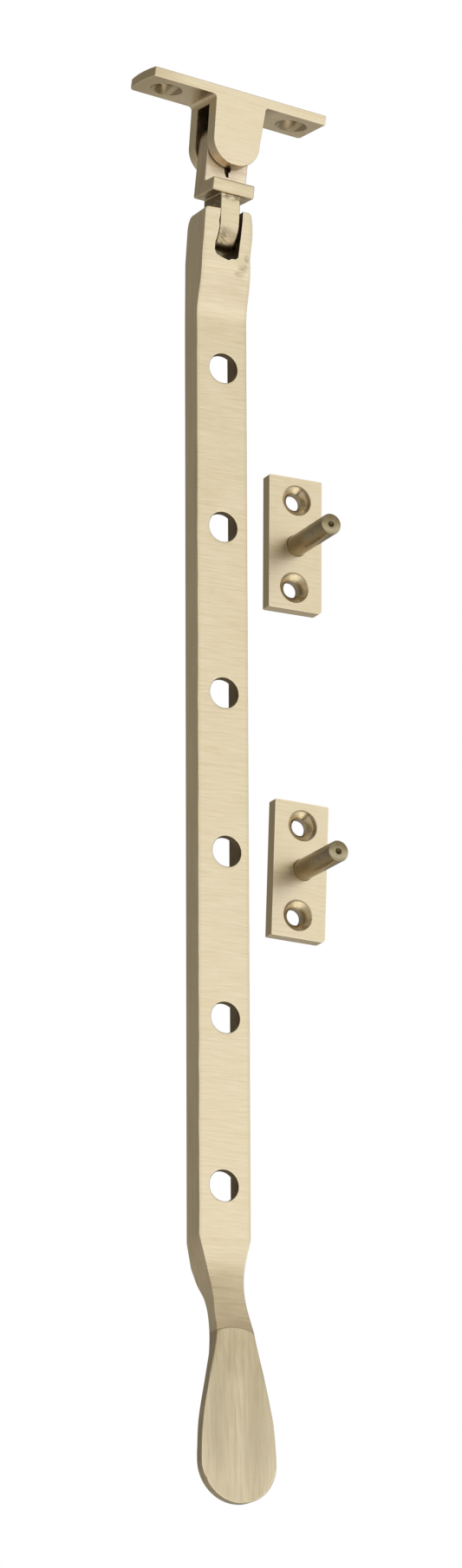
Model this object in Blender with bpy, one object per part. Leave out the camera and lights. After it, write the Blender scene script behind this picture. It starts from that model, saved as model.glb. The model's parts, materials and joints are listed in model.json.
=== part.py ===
"""Casement window stay in satin brass: a bracket, a two-way knuckle, a pierced arm and two peg plates.

Metres. +Z is up, -Y is the side that faces into the room, +X is to the right. The origin is the
middle of the bracket's mounting face, from which the arm hangs plumb on its two crossed pivots.
"""

import math

import bmesh
import bpy
from mathutils import Matrix, Vector

# Rest pose: how the bracket sits while the arm hangs plumb (degrees).
BRACKET_PITCH = 5.75
BRACKET_ROLL = 4.78
BRACKET_YAW = 1.5
KNUCKLE_SWING = -1.43

# Bracket: a plate with two ears below it. Its own origin is the middle of the mounting face.
PLATE_LENGTH = 0.0448
PLATE_DEPTH = 0.0127
PLATE_THICKNESS = 0.00235
PLATE_CORNER_RADIUS = 0.0008
HEAD_OFFSET = 0.0003
SCREW_SPACING = 0.0328
SCREW_BORE = 0.0038
COUNTERSINK_DIAMETER = 0.0072
COUNTERSINK_DEPTH = 0.0017
EAR_TOP_WIDTH = 0.0130
EAR_BOTTOM_RADIUS = 0.0060
EAR_FILLET_LEFT = 0.0010
EAR_FILLET_RIGHT = 0.0007
EAR_GAP = 0.0057
EAR_GAP_TOP = -0.0037
UPPER_PIVOT_DROP = 0.0117

# Pivot pins and their bores.
PIN_DIAMETER = 0.0030
PIN_BORE = 0.0036
PIN_COVER = 0.0012
PIN_END_GAP = 0.0003
PIN_RIVET_CHAMFER = 0.0004

# Knuckle: its own origin is the upper pivot, in the middle of the upper tongue.
PIVOT_SPACING = 0.0233
LOWER_PIVOT_FORWARD = 0.0020
UPPER_TONGUE_WIDTH = 0.0108
UPPER_TONGUE_THICKNESS = 0.0049
COLLAR_WIDTH = 0.0104
COLLAR_FRONT = 0.0071
COLLAR_TOP_DROP = 0.0101
COLLAR_HEIGHT = 0.0032
LOWER_TONGUE_WIDTH = 0.0050
LOWER_TONGUE_DEPTH = 0.0086
LOWER_TONGUE_SHIFT = 0.0003
LOWER_TONGUE_END_RISE = 0.0030
LOWER_TONGUE_END_HEIGHT = 0.0057
LOWER_TONGUE_HEEL_RADIUS = 0.0012
LOWER_TONGUE_HEEL_LEVEL = -0.0258

# Arm: its own origin is the lower pivot. Heights below the pivot are negative.
ARM_TOP = 0.0061
BAR_WIDTH = 0.0127
BAR_THICKNESS = 0.0064
BAR_BACK = 0.0051
BAR_END = -0.2336
BOSS_TOP_WIDTH = 0.0114
BOSS_LEVEL_DROP = 0.0055
BOSS_FOOT_DROP = 0.0200
BOSS_RISE = 0.0029
BOSS_TOP_RISE = 0.0035
BOSS_BACK_RADIUS = 0.0034
BOSS_BACK_RELIEF = 0.0004
SLOT_WIDTH = 0.0060
SLOT_SHIFT = 0.00045
SLOT_SIDE_DEPTH = 0.0050
SLOT_SAG = 0.0010
WALL = 0.0018
TROUGH_TOP = -0.0135
TROUGH_END = -0.2315
HOLE_DIAMETER = 0.0070
FIRST_HOLE_DROP = 0.0316
# The holes are marked out by hand, so their pitches and their places across the bar vary.
HOLE_PITCHES = (0.0, 0.0382, 0.0393, 0.0369, 0.0382, 0.0380)
HOLE_SHIFTS = (0.0004, 0.0002, 0.0003, 0.0008, 0.0003, -0.0002)

# Handle: stations of height against half width, and of height against forward set.
NECK_HALF_WIDTHS = (
    (BAR_END, 0.00635),
    (-0.2407, 0.00465),
    (-0.2462, 0.00397),
    (-0.2521, 0.00425),
    (-0.2570, 0.00480),
    (-0.2662, 0.00675),
    (-0.2753, 0.00850),
    (-0.2825, 0.00903),
)
SPOON_RADIUS = 0.00905
SPOON_TIP = -0.2933
SPOON_ARC_INSET = 4
CRANK_FRONT = (
    (BAR_END, 0.0),
    (-0.2407, 0.0003),
    (-0.2462, 0.0015),
    (-0.2505, 0.0029),
    (-0.2556, 0.0050),
)
SPOON_FRONT = ((-0.2660, 0.0057), (SPOON_TIP - 0.001, 0.0068))
CRANK_BACK = (
    (-0.2405, 0.0),
    (-0.2440, 0.0010),
    (-0.2475, 0.0037),
    (-0.2510, 0.0058),
    (-0.2560, 0.0075),
    (-0.2605, 0.0089),
)
SPOON_BACK = ((-0.2660, 0.0094), (SPOON_TIP - 0.001, 0.0106))

# Peg plates: their own origin is the middle of the front face, where the peg stands.
PEG_PLATE_WIDTH = 0.0134
PEG_PLATE_HEIGHT = 0.0322
PEG_PLATE_THICKNESS = 0.0036
PEG_PLATE_EDGE = 0.0003
PEG_SCREW_SPACING = 0.0215
PEG_SCREW_SHIFT = 0.0003
PEG_COUNTERSINK_DIAMETER = 0.0071
PEG_COUNTERSINK_DEPTH = 0.00165
PEG_DIAMETER = 0.0050
PEG_LENGTH = 0.0177
PEG_SHOULDER_GAP = 0.0003
PEG_DIMPLE_DIAMETER = 0.0018
PEG_DIMPLE_DEPTH = 0.0006
PEG_DIMPLE_POINT = 0.0002
PEG_SPIGOT_DIAMETER = 0.0032
PEG_SPIGOT_BORE = 0.0038
PEG_RIVET_DIAMETER = 0.0052
PEG_RIVET_DEPTH = 0.0011
PEG_CHAMFER = 0.0002
# Each plate's place from the arm's pivot (right, behind, up) and its turn in its own plane (degrees).
PEG_PLACES = {
    "upper": ((0.0321, 0.0251, -0.0611), 0.6),
    "lower": ((0.0327, 0.0251, -0.1399), 2.2),
}

# How finely round shapes are drawn, and the small lengths that cutting and joining need.
ROUND_SEGMENTS = 32
CORNER_STEPS = 5
LOBE_STEPS = 14
SPOON_STEPS = 22
SWEEP_STEPS = 10
SAG_STEPS = 6
CURVE_STEPS = 4
SHARP_ANGLE = 30
OVERCUT = 0.002
JOIN_OVERLAP = 0.0002
SAME_PLACE = 1e-6

BRASS_LIGHT = (0.62, 0.50, 0.30)
BRASS_DARK = (0.48, 0.36, 0.20)
BRASS_RAW = (0.60, 0.45, 0.32)


# ---------------------------------------------------------------- helpers


def clear_scene():
    for item in list(bpy.data.objects):
        bpy.data.objects.remove(item, do_unlink=True)


def brass(name, color, roughness):
    material = bpy.data.materials.new(name)
    material.use_nodes = True
    shader = material.node_tree.nodes["Principled BSDF"]
    shader.inputs["Base Color"].default_value = (*color, 1.0)
    shader.inputs["Metallic"].default_value = 1.0
    shader.inputs["Roughness"].default_value = roughness
    return material


def add_object(name, mesh_data, frame, material=None):
    """Links a bmesh as an object placed by a 4x4 frame, and frees the bmesh."""
    mesh = bpy.data.meshes.new(name)
    bmesh.ops.recalc_face_normals(mesh_data, faces=mesh_data.faces[:])
    mesh_data.to_mesh(mesh)
    mesh_data.free()
    item = bpy.data.objects.new(name, mesh)
    bpy.context.scene.collection.objects.link(item)
    item.matrix_world = frame
    if material:
        mesh.materials.append(material)
        mesh.shade_smooth()
        mesh.set_sharp_from_angle(angle=math.radians(SHARP_ANGLE))
    return item


def add_frame(name, frame):
    """An empty that marks a pivot and carries the pieces that turn about it."""
    empty = bpy.data.objects.new(name, None)
    empty.empty_display_size = 0.01
    bpy.context.scene.collection.objects.link(empty)
    empty.matrix_world = frame
    return empty


def carry(parent, *items):
    bpy.context.view_layer.update()
    for item in items:
        world = item.matrix_world.copy()
        item.parent = parent
        item.matrix_world = world


def boolean(target, tool, operation):
    modifier = target.modifiers.new(tool.name, "BOOLEAN")
    modifier.operation = operation
    modifier.solver = "EXACT"
    modifier.object = tool
    tool.hide_render = True
    tool.display_type = "WIRE"


def add_prism(mesh_data, outline, axis, low, high):
    """Extrudes a closed outline: along Y from (x, z) points, or along X from (y, z) points."""

    def place(a, b, along):
        return (a, along, b) if axis == "Y" else (along, a, b)

    near = [mesh_data.verts.new(place(a, b, low)) for a, b in outline]
    far = [mesh_data.verts.new(place(a, b, high)) for a, b in outline]
    mesh_data.faces.new(near)
    mesh_data.faces.new(far)
    count = len(outline)
    for i in range(count):
        j = (i + 1) % count
        mesh_data.faces.new((near[i], near[j], far[j], far[i]))


def add_turned(mesh_data, profile, axis, centre=(0.0, 0.0, 0.0)):
    """Adds a solid turned about +X or +Y through centre, from (distance along, radius) points."""
    rings = []
    middle = Vector(centre)
    for along, radius in profile:
        ring = []
        for i in range(ROUND_SEGMENTS):
            angle = 2 * math.pi * i / ROUND_SEGMENTS
            across = radius * math.cos(angle)
            upward = radius * math.sin(angle)
            offset = (across, along, upward) if axis == "Y" else (along, across, upward)
            ring.append(mesh_data.verts.new(middle + Vector(offset)))
        rings.append(ring)
    mesh_data.faces.new(rings[0])
    mesh_data.faces.new(rings[-1])
    for first, second in zip(rings, rings[1:]):
        for i in range(ROUND_SEGMENTS):
            j = (i + 1) % ROUND_SEGMENTS
            mesh_data.faces.new((first[i], first[j], second[j], second[i]))


def arc(centre, radius, start, end, steps):
    """Points on an arc, from start to end in degrees."""
    points = []
    for i in range(steps + 1):
        angle = math.radians(start + (end - start) * i / steps)
        points.append((centre[0] + radius * math.cos(angle), centre[1] + radius * math.sin(angle)))
    return points


def smooth(stations):
    """Points on a smooth curve through (height, value) stations, without overshoot at its ends."""
    slopes = []
    last = len(stations) - 1
    for i in range(len(stations)):
        before = stations[max(i - 1, 0)]
        after = stations[min(i + 1, last)]
        slopes.append((after[1] - before[1]) / (after[0] - before[0]))
    points = []
    for i in range(last):
        (h0, v0), (h1, v1) = stations[i], stations[i + 1]
        span = h1 - h0
        for k in range(CURVE_STEPS):
            t = k / CURVE_STEPS
            a = 2 * t**3 - 3 * t**2 + 1
            b = (t**3 - 2 * t**2 + t) * span
            c = 3 * t**2 - 2 * t**3
            d = (t**3 - t**2) * span
            points.append((h0 + t * span, a * v0 + b * slopes[i] + c * v1 + d * slopes[i + 1]))
    points.append(stations[-1])
    return points


def turn(axis, degrees):
    """A rotation about one axis, as a 4x4 matrix."""
    return Matrix.Rotation(math.radians(degrees), 4, axis)


def countersunk_hole(mesh_data, centre, out, thickness, wide, deep):
    """Adds the cone and bore that cut a screw hole along Y. Its wide end faces +Y or -Y, as out says."""
    profile = [
        (-OVERCUT, wide / 2 + OVERCUT * (wide - SCREW_BORE) / 2 / deep),
        (deep, SCREW_BORE / 2),
        (thickness + OVERCUT, SCREW_BORE / 2),
    ]
    add_turned(mesh_data, [(-out * along, radius) for along, radius in profile], "Y", centre)


# ---------------------------------------------------------------- bracket


def bracket_outline():
    """The T seen from the front: plate, fillets, and ears that narrow to a rounded bottom."""
    half = PLATE_LENGTH / 2
    under = -PLATE_THICKNESS
    side = EAR_TOP_WIDTH / 2
    right_centre = (HEAD_OFFSET + side + EAR_FILLET_RIGHT, under - EAR_FILLET_RIGHT)
    left_centre = (HEAD_OFFSET - side - EAR_FILLET_LEFT, under - EAR_FILLET_LEFT)
    right_fillet = arc(right_centre, EAR_FILLET_RIGHT, 90, 180, CORNER_STEPS)
    left_fillet = arc(left_centre, EAR_FILLET_LEFT, 0, 90, CORNER_STEPS)
    rounding = arc((HEAD_OFFSET, -UPPER_PIVOT_DROP), EAR_BOTTOM_RADIUS, 0, -180, LOBE_STEPS)
    top = [(-half, 0.0), (half, 0.0), (half, under)]
    return top + right_fillet + rounding + left_fillet + [(-half, under)]


def make_bracket(frame, material):
    depth = PLATE_DEPTH / 2
    body = bmesh.new()
    add_prism(body, bracket_outline(), "Y", -depth, depth)
    corners = [
        edge
        for edge in body.edges
        if all(abs(abs(v.co.x) - PLATE_LENGTH / 2) < SAME_PLACE and v.co.y > 0 for v in edge.verts)
    ]
    bmesh.ops.bevel(body, geom=corners, offset=PLATE_CORNER_RADIUS, segments=3, profile=0.5, affect="EDGES")
    bracket = add_object("mounting_bracket", body, frame, material)

    gap = bmesh.new()
    gap_side = EAR_TOP_WIDTH
    gap_top = EAR_GAP_TOP
    gap_bottom = -UPPER_PIVOT_DROP - EAR_BOTTOM_RADIUS - OVERCUT
    sides = ((-gap_side, gap_top), (gap_side, gap_top), (gap_side, gap_bottom), (-gap_side, gap_bottom))
    add_prism(gap, sides, "Y", -EAR_GAP / 2, EAR_GAP / 2)
    boolean(bracket, add_object("cut_ear_gap", gap, frame), "DIFFERENCE")

    screws = bmesh.new()
    for side in (-1, 1):
        centre = (HEAD_OFFSET + side * SCREW_SPACING / 2, 0.0, 0.0)
        countersunk_hole(screws, centre, 1, PLATE_THICKNESS, COUNTERSINK_DIAMETER, COUNTERSINK_DEPTH)
    underside = frame @ Matrix.Translation((0.0, 0.0, -PLATE_THICKNESS)) @ turn("X", -90)
    boolean(bracket, add_object("cut_bracket_screws", screws, underside), "DIFFERENCE")

    bore = bmesh.new()
    reach = depth - PIN_COVER
    add_turned(bore, [(-reach, PIN_BORE / 2), (depth + OVERCUT, PIN_BORE / 2)], "Y")
    pivot = frame @ Matrix.Translation((HEAD_OFFSET, 0.0, -UPPER_PIVOT_DROP))
    boolean(bracket, add_object("cut_upper_bore", bore, pivot), "DIFFERENCE")
    return bracket


# ---------------------------------------------------------------- pins


def make_pin(name, axis, blind_end, open_end, frame, material):
    """A plain pin whose open end is riveted flush, with a small chamfer at each end."""
    radius = PIN_DIAMETER / 2
    sign = 1 if open_end > blind_end else -1
    trim = sign * PIN_RIVET_CHAMFER
    profile = [
        (blind_end, radius - PIN_RIVET_CHAMFER),
        (blind_end + trim, radius),
        (open_end - trim, radius),
        (open_end, radius - PIN_RIVET_CHAMFER / 2),
    ]
    body = bmesh.new()
    add_turned(body, profile, axis)
    return add_object(name, body, frame, material)


# ---------------------------------------------------------------- knuckle


def make_knuckle(frame, material):
    back = UPPER_TONGUE_THICKNESS / 2
    collar_bottom = -COLLAR_TOP_DROP - COLLAR_HEIGHT
    body = bmesh.new()
    half = UPPER_TONGUE_WIDTH / 2
    lobe = arc((0.0, 0.0), half, 0, 180, LOBE_STEPS)
    tongue = [(-half, -COLLAR_TOP_DROP), (half, -COLLAR_TOP_DROP), *lobe]
    add_prism(body, tongue, "Y", -back, back)
    knuckle = add_object("knuckle", body, frame, material)

    collar = bmesh.new()
    side = COLLAR_WIDTH / 2
    top = -COLLAR_TOP_DROP + JOIN_OVERLAP
    sides = ((-side, top), (side, top), (side, collar_bottom), (-side, collar_bottom))
    add_prism(collar, sides, "Y", -COLLAR_FRONT, back)
    boolean(knuckle, add_object("join_collar", collar, frame), "UNION")

    lower = bmesh.new()
    half = LOWER_TONGUE_WIDTH / 2
    front = back - LOWER_TONGUE_DEPTH
    middle = (front + back) / 2
    start = LOWER_TONGUE_END_RISE - PIVOT_SPACING
    heel = (back - LOWER_TONGUE_HEEL_RADIUS, LOWER_TONGUE_HEEL_LEVEL + LOWER_TONGUE_HEEL_RADIUS)
    rounded = arc(heel, LOWER_TONGUE_HEEL_RADIUS, 0, -80, CORNER_STEPS)
    for y, z in arc((0.0, 0.0), 1.0, -90, -180, LOBE_STEPS // 2):
        rounded.append((middle + y * LOWER_TONGUE_DEPTH / 2, start + z * LOWER_TONGUE_END_HEIGHT))
    top = collar_bottom + JOIN_OVERLAP
    side = (LOWER_TONGUE_SHIFT - half, LOWER_TONGUE_SHIFT + half)
    add_prism(lower, [(front, top), (back, top), *rounded], "X", *side)
    boolean(knuckle, add_object("join_lower_tongue", lower, frame), "UNION")

    upper_bore = bmesh.new()
    add_turned(upper_bore, [(-back - OVERCUT, PIN_BORE / 2), (back + OVERCUT, PIN_BORE / 2)], "Y")
    boolean(knuckle, add_object("cut_upper_tongue_bore", upper_bore, frame), "DIFFERENCE")

    lower_bore = bmesh.new()
    reach = half + LOWER_TONGUE_SHIFT + OVERCUT
    pivot = (0.0, -LOWER_PIVOT_FORWARD, -PIVOT_SPACING)
    add_turned(lower_bore, [(-reach, PIN_BORE / 2), (reach, PIN_BORE / 2)], "X", pivot)
    boolean(knuckle, add_object("cut_lower_tongue_bore", lower_bore, frame), "DIFFERENCE")
    return knuckle


# ---------------------------------------------------------------- arm


def arm_side_outline():
    """The arm seen from its side, as (y, z) points: down the front, round the tip, up the back."""
    bar_front = BAR_BACK - BAR_THICKNESS
    boss_front = bar_front - BOSS_RISE
    front = [(bar_front - BOSS_TOP_RISE, ARM_TOP), (boss_front, -BOSS_LEVEL_DROP)]
    for i in range(1, SWEEP_STEPS):
        t = i / SWEEP_STEPS
        ease = (1 + math.cos(math.pi * t)) / 2
        drop = BOSS_LEVEL_DROP + t * (BOSS_FOOT_DROP - BOSS_LEVEL_DROP)
        front.append((bar_front - BOSS_RISE * ease, -drop))
    front.append((bar_front, -BOSS_FOOT_DROP))
    front += [(bar_front - forward, height) for height, forward in smooth(CRANK_FRONT)]
    front += [(bar_front - forward, height) for height, forward in SPOON_FRONT]
    back = [(BAR_BACK - forward, height) for height, forward in reversed(SPOON_BACK)]
    back += [(BAR_BACK - forward, height) for height, forward in reversed(smooth(CRANK_BACK))]
    back.append((BAR_BACK, -BOSS_FOOT_DROP))
    corner = (BAR_BACK - BOSS_BACK_RELIEF - BOSS_BACK_RADIUS, ARM_TOP - BOSS_BACK_RADIUS)
    back += arc(corner, BOSS_BACK_RADIUS, 0, 90, 2 * CORNER_STEPS)
    return front + back


def arm_front_outline():
    """The arm seen from the front, as (x, z) points, closed round the spoon's end."""
    centre = (0.0, SPOON_TIP + SPOON_RADIUS)
    first = math.degrees(math.acos(NECK_HALF_WIDTHS[-1][1] / SPOON_RADIUS)) - SPOON_ARC_INSET
    right = [(BOSS_TOP_WIDTH / 2, ARM_TOP + OVERCUT), (BAR_WIDTH / 2, -BOSS_LEVEL_DROP)]
    right += [(value, height) for height, value in smooth(NECK_HALF_WIDTHS)]
    left = [(-x, z) for x, z in reversed(right)]
    return right + arc(centre, SPOON_RADIUS, first, -180 - first, SPOON_STEPS) + left


def slot_outline():
    """The slot for the knuckle's tongue, with a bottom that sags in the middle."""
    half = SLOT_WIDTH / 2
    top = ARM_TOP + OVERCUT
    bottom = []
    for i in range(SAG_STEPS + 1):
        t = 2 * i / SAG_STEPS - 1
        bottom.append((SLOT_SHIFT + half * t, -SLOT_SIDE_DEPTH - SLOT_SAG * (1 - t * t)))
    return [(SLOT_SHIFT + half, top), (SLOT_SHIFT - half, top), *bottom]


def trough_outline():
    half = BAR_WIDTH / 2 - WALL
    top = arc((0.0, TROUGH_TOP - half), half, 0, 180, 2 * CORNER_STEPS)
    end = arc((0.0, TROUGH_END + half), half, 180, 360, 2 * CORNER_STEPS)
    return top + end


def hole_centres():
    centres = []
    height = -FIRST_HOLE_DROP
    for pitch, shift in zip(HOLE_PITCHES, HOLE_SHIFTS):
        height -= pitch
        centres.append((shift, 0.0, height))
    return centres


def make_arm(frame, pin_frame, slot_frame, material):
    body = bmesh.new()
    add_prism(body, arm_side_outline(), "X", -BAR_WIDTH, BAR_WIDTH)
    arm = add_object("stay_arm", body, frame, material)

    face = bmesh.new()
    add_prism(face, arm_front_outline(), "Y", -2 * BAR_WIDTH, 2 * BAR_WIDTH)
    boolean(arm, add_object("keep_front_outline", face, frame), "INTERSECT")

    trough = bmesh.new()
    add_prism(trough, trough_outline(), "Y", BAR_BACK - BAR_THICKNESS + WALL, BAR_BACK + OVERCUT)
    boolean(arm, add_object("cut_trough", trough, frame), "DIFFERENCE")

    holes = bmesh.new()
    through = [(-BAR_THICKNESS, HOLE_DIAMETER / 2), (BAR_BACK, HOLE_DIAMETER / 2)]
    for centre in hole_centres():
        add_turned(holes, through, "Y", centre)
    boolean(arm, add_object("cut_peg_holes", holes, frame), "DIFFERENCE")

    slot = bmesh.new()
    add_prism(slot, slot_outline(), "Y", -BAR_WIDTH, BAR_WIDTH)
    boolean(arm, add_object("cut_slot", slot, slot_frame), "DIFFERENCE")

    bore = bmesh.new()
    blind = -BOSS_TOP_WIDTH / 2 + PIN_COVER
    add_turned(bore, [(blind, PIN_BORE / 2), (BAR_WIDTH, PIN_BORE / 2)], "X")
    boolean(arm, add_object("cut_lower_bore", bore, pin_frame), "DIFFERENCE")
    return arm


# ---------------------------------------------------------------- peg plates


def make_peg_plate(name, frame, material):
    side = PEG_PLATE_WIDTH / 2
    end = PEG_PLATE_HEIGHT / 2
    body = bmesh.new()
    outline = ((-side, -end), (side, -end), (side, end), (-side, end))
    add_prism(body, outline, "Y", 0.0, PEG_PLATE_THICKNESS)
    front = [edge for edge in body.edges if all(abs(v.co.y) < SAME_PLACE for v in edge.verts)]
    bmesh.ops.bevel(body, geom=front, offset=PEG_PLATE_EDGE, segments=1, affect="EDGES")
    plate = add_object(name, body, frame, material)

    cutter = bmesh.new()
    wide, deep = PEG_COUNTERSINK_DIAMETER, PEG_COUNTERSINK_DEPTH
    for way in (-1, 1):
        centre = (way * PEG_SCREW_SHIFT, 0.0, way * PEG_SCREW_SPACING / 2)
        countersunk_hole(cutter, centre, -1, PEG_PLATE_THICKNESS, wide, deep)
    slope = (PEG_RIVET_DIAMETER - PEG_SPIGOT_DIAMETER) / 2 / PEG_RIVET_DEPTH
    bore = PEG_SPIGOT_BORE / 2
    seat = PEG_PLATE_THICKNESS - PEG_RIVET_DEPTH - (PEG_SPIGOT_BORE - PEG_SPIGOT_DIAMETER) / 2
    back = PEG_PLATE_THICKNESS + OVERCUT
    add_turned(cutter, [(-OVERCUT, bore), (seat, bore), (back, bore + slope * (back - seat))], "Y")
    boolean(plate, add_object("cut_" + name, cutter, frame), "DIFFERENCE")
    return plate


def make_peg(name, frame, material):
    """A turned peg, shouldered on the plate's face and riveted into the plate's countersunk back."""
    radius = PEG_DIAMETER / 2
    spigot = PEG_SPIGOT_DIAMETER / 2
    profile = [
        (-PEG_LENGTH + PEG_DIMPLE_DEPTH, PEG_DIMPLE_POINT),
        (-PEG_LENGTH, PEG_DIMPLE_DIAMETER / 2),
        (-PEG_LENGTH, radius - PEG_CHAMFER),
        (-PEG_LENGTH + PEG_CHAMFER, radius),
        (-PEG_SHOULDER_GAP, radius),
        (-PEG_SHOULDER_GAP, spigot),
        (PEG_PLATE_THICKNESS - PEG_RIVET_DEPTH, spigot),
        (PEG_PLATE_THICKNESS, PEG_RIVET_DIAMETER / 2),
    ]
    body = bmesh.new()
    add_turned(body, profile, "Y")
    return add_object(name, body, frame, material)


# ---------------------------------------------------------------- assembly


def build():
    clear_scene()
    satin = brass("satin_brass", BRASS_LIGHT, 0.35)
    pin_brass = brass("pin_brass", BRASS_DARK, 0.30)
    raw = brass("filed_brass", BRASS_RAW, 0.45)

    bracket_frame = turn("X", BRACKET_PITCH) @ turn("Y", BRACKET_ROLL) @ turn("Z", BRACKET_YAW)
    upper_frame = bracket_frame @ Matrix.Translation((HEAD_OFFSET, 0.0, -UPPER_PIVOT_DROP))
    knuckle_frame = upper_frame @ turn("Y", KNUCKLE_SWING)
    lower_frame = knuckle_frame @ Matrix.Translation((0.0, -LOWER_PIVOT_FORWARD, -PIVOT_SPACING))
    arm_frame = Matrix.Translation(lower_frame.translation)
    slot_frame = arm_frame @ turn("Y", BRACKET_ROLL + KNUCKLE_SWING)

    bracket = make_bracket(bracket_frame, satin)
    open_end = PLATE_DEPTH / 2
    blind_end = PIN_COVER + PIN_END_GAP - open_end
    upper_pin = make_pin("upper_pivot_pin", "Y", blind_end, open_end, upper_frame, pin_brass)
    carry(add_frame("bracket_frame", bracket_frame), bracket, upper_pin)

    knuckle = make_knuckle(knuckle_frame, raw)
    carry(add_frame("swing_pivot", knuckle_frame), knuckle)

    arm = make_arm(arm_frame, lower_frame, slot_frame, satin)
    open_end = BOSS_TOP_WIDTH / 2
    blind_end = PIN_COVER + PIN_END_GAP - open_end
    lower_pin = make_pin("lower_pivot_pin", "X", blind_end, open_end, lower_frame, pin_brass)
    carry(add_frame("lift_pivot", arm_frame), arm, lower_pin)

    for which, (place, tilt) in PEG_PLACES.items():
        peg_frame = arm_frame @ Matrix.Translation(place) @ turn("Y", tilt)
        plate = make_peg_plate("peg_plate_" + which, peg_frame, satin)
        peg = make_peg("peg_" + which, peg_frame, pin_brass)
        carry(add_frame("peg_frame_" + which, peg_frame), plate, peg)


build()
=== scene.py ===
"""Looks of the brass casement peg stay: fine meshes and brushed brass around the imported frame.

Metres. Each piece is modelled in its own frame, as it would lie on the bench, with X across it,
-Y towards the room and Z along it, and is then placed on the frame's joints and boxes.
"""

import json
import math

import bmesh
import bpy
from mathutils import Matrix, Vector, noise


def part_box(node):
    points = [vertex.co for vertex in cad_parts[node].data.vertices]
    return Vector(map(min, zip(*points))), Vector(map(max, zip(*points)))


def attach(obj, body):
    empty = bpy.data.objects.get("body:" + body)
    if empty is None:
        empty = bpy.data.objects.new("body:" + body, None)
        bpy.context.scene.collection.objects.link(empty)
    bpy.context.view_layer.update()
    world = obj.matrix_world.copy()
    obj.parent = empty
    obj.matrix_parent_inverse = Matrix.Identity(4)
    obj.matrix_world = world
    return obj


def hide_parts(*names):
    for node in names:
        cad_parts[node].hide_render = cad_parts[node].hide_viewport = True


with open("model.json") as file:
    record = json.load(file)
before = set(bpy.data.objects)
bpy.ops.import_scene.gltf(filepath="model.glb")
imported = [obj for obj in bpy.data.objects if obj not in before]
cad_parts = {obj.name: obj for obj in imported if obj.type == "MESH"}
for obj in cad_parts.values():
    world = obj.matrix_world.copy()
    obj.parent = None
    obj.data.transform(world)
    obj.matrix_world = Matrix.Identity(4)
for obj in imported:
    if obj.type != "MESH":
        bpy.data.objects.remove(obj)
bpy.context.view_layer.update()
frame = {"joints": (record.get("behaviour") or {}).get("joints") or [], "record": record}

# Camera: turned left of the front and looking up (degrees), at a product photograph's distance.
CAMERA_AZIMUTH = -26.5
CAMERA_ELEVATION = -16.45
CAMERA_ROLL = -0.24
CAMERA_DISTANCE = 1.35
CAMERA_AIM = (0.004, 0.0084, -0.1625)
CAMERA_LENS = 137.7
CAMERA_SENSOR = 36.0

# Studio.
FLOOR_LEVEL = -1.6
FLOOR_SIZE = 60.0
FLOOR_THICKNESS = 0.1
FLOOR_COLOR = (0.9, 0.9, 0.89, 1.0)
FLOOR_ROUGHNESS = 0.8
DIFFUSER_TOWARD = (0.447, -0.894, 0.0)
DIFFUSER_FULL = 24.0
DIFFUSER_REACH = 66.0
STUDIO_STRENGTH = 2.5
DIFFUSER = (
    (-90.0, (0.44, 0.44, 0.424)), (-52.0, (0.624, 0.624, 0.608)),
    (-34.0, (0.416, 0.416, 0.408)), (-12.0, (0.336, 0.344, 0.352)),
    (0.0, (0.496, 0.52, 0.56)), (8.0, (0.776, 0.856, 0.976)),
    (14.0, (0.584, 0.608, 0.612)), (21.0, (0.3, 0.3, 0.262)),
    (50.0, (0.212, 0.206, 0.18)), (90.0, (0.36, 0.36, 0.36)),
)
WALLS = (
    (-90.0, (0.224, 0.224, 0.22)), (-18.0, (0.182, 0.178, 0.164)),
    (0.0, (0.152, 0.147, 0.134)), (14.0, (0.126, 0.123, 0.113)),
    (24.0, (0.114, 0.11, 0.102)), (45.0, (0.128, 0.124, 0.118)),
    (70.0, (0.192, 0.188, 0.182)), (90.0, (0.36, 0.36, 0.36)),
)

# Bracket, from the middle of its mounting face.
PLATE_LENGTH = 0.0448
PLATE_DEPTH = 0.0127
PLATE_THICKNESS = 0.00235
PLATE_RISE = 0.00018
PLATE_END_BULGE = 0.0006
PLATE_CORNER_RADIUS = 0.0009
PLATE_BACK_EDGE = 0.0006
HEAD_OFFSET = 0.0003
SCREW_SPACING = 0.0328
SCREW_BORE = 0.004
COUNTERSINK_DIAMETER = 0.0072
COUNTERSINK_DEPTH = 0.0017
EAR_TOP_WIDTH = 0.013
EAR_BOTTOM_RADIUS = 0.006
EAR_FULLNESS = 0.05
EAR_FILLET_LEFT = 0.001
EAR_FILLET_RIGHT = 0.0007
EAR_GAP = 0.0057
EAR_GAP_TOP = -0.0037
UPPER_PIVOT_DROP = 0.0117

# Pins.
PIN_DIAMETER = 0.003
PIN_COVER = 0.0015
PIN_PLAY = 0.00012

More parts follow.
